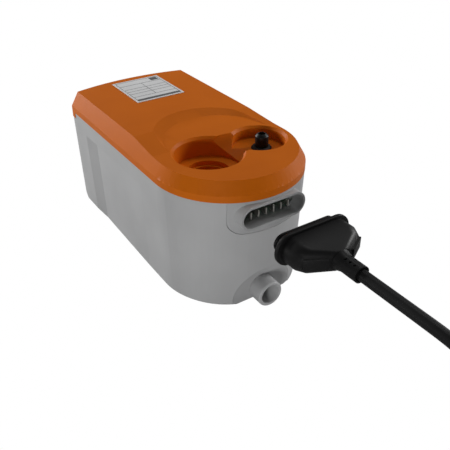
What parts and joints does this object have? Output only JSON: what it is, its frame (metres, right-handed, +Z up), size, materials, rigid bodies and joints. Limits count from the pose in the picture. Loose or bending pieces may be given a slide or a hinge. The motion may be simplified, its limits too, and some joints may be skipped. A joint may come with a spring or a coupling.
{
  "type": "condensate pump",
  "caption": "Condensate pump: tank with a front drain spigot, lift-off head with float switch and oscillating plunger pump, top inlet and outlet, unplugged mains lead.",
  "frame": {"origin": "middle of the underside of the pump without its plug and cord, on the plane that the rubber feet stand on", "axes": "+Z up, -Y towards the rounded front with socket and spigot, +X towards the outlet pocket's side, the inlet pocket lies at -X"},
  "size_m": [0.1654, 0.4011, 0.0947],
  "materials": {
    "grey_plastic": "satin",
    "orange_plastic": "satin",
    "label_print": "matt",
    "dark_plastic": "matt",
    "black_rubber": "matt",
    "board_laminate": "satin",
    "contact_metal": "bright",
    "black_plastic": "satin",
    "hose_silicone": "satin",
    "natural_plastic": "satin",
    "plunger_steel": "bright",
    "copper_wire": "enamelled",
    "yoke_steel": "satin",
    "blue_plastic": "gloss",
    "green_plastic": "satin",
    "cord_sheath": "satin",
    "reed_glass": "clear",
    "magnet_ferrite": "matt",
    "contact_brass": "bright",
    "core_insulation": "satin"
  },
  "bodies": {
    "tank": {"tank": "grey_plastic", "front_spigot": "grey_plastic", "rubber_feet": "black_rubber"},
    "head": {"lid": "orange_plastic", "label_plate": "label_print", "chassis_tray": "dark_plastic", "rim_seal": "black_rubber", "front_panel": "grey_plastic", "socket_board": "board_laminate", "contact_blades": "contact_metal", "inlet_sleeve": "orange_plastic", "outlet_spigot": "black_plastic", "outlet_grommet": "black_rubber", "discharge_hose": "hose_silicone", "pump_cylinder": "natural_plastic", "outlet_valve_cap": "black_plastic", "inlet_valve_cap": "black_plastic", "front_spring": "plunger_steel", "rear_spring": "plunger_steel", "coil_bobbin": "natural_plastic", "coil_winding": "copper_wire", "coil_yoke": "yoke_steel", "pump_mounts": "black_rubber", "pump_screws": "contact_metal", "suction_hose": "hose_silicone", "suction_pipe": "natural_plastic", "strainer": "dark_plastic", "control_board": "board_laminate", "relay": "blue_plastic", "capacitor": "blue_plastic", "terminal_block": "green_plastic", "board_screws": "contact_metal", "wire_loom": "cord_sheath", "float_stem": "natural_plastic", "stem_clip": "contact_metal", "reed_switch": "reed_glass"},
    "float": {"float": "natural_plastic", "float_magnet": "magnet_ferrite"},
    "plunger": {"plunger": "plunger_steel"},
    "discharge_valve": {"outlet_ball": "black_rubber"},
    "suction_valve": {"inlet_ball": "black_rubber"},
    "plug": {"plug_body": "black_plastic", "plug_seal": "black_rubber", "plug_insert": "black_plastic", "plug_contacts": "contact_brass", "power_cord": "cord_sheath", "cord_coil": "cord_sheath", "cord_tie": "black_plastic", "cord_cores": "core_insulation", "core_ferrules": "contact_metal"}
  },
  "joints": [
    {"name": "head_lift", "type": "slide", "parent": "tank", "child": "head", "axis": [0, 0, 1], "range_m": [0, 0.08]},
    {"name": "float_slide", "type": "slide", "parent": "head", "child": "float", "axis": [0, 0, 1], "range_m": [0, 0.0175]},
    {"name": "plunger_stroke", "type": "slide", "parent": "head", "child": "plunger", "axis": [0, 1, 0], "range_m": [-0.004, 0.004], "stiffness_N_per_m": 200},
    {"name": "discharge_valve_lift", "type": "slide", "parent": "head", "child": "discharge_valve", "axis": [0, -1, 0], "range_m": [0, 0.0009]},
    {"name": "suction_valve_lift", "type": "slide", "parent": "head", "child": "suction_valve", "axis": [0, -1, 0], "range_m": [0, 0.0009]},
    {"name": "plug_slide", "type": "slide", "parent": "head", "child": "plug", "axis": [0, 1, 0], "range_m": [0, 0.0323]}
  ]
}
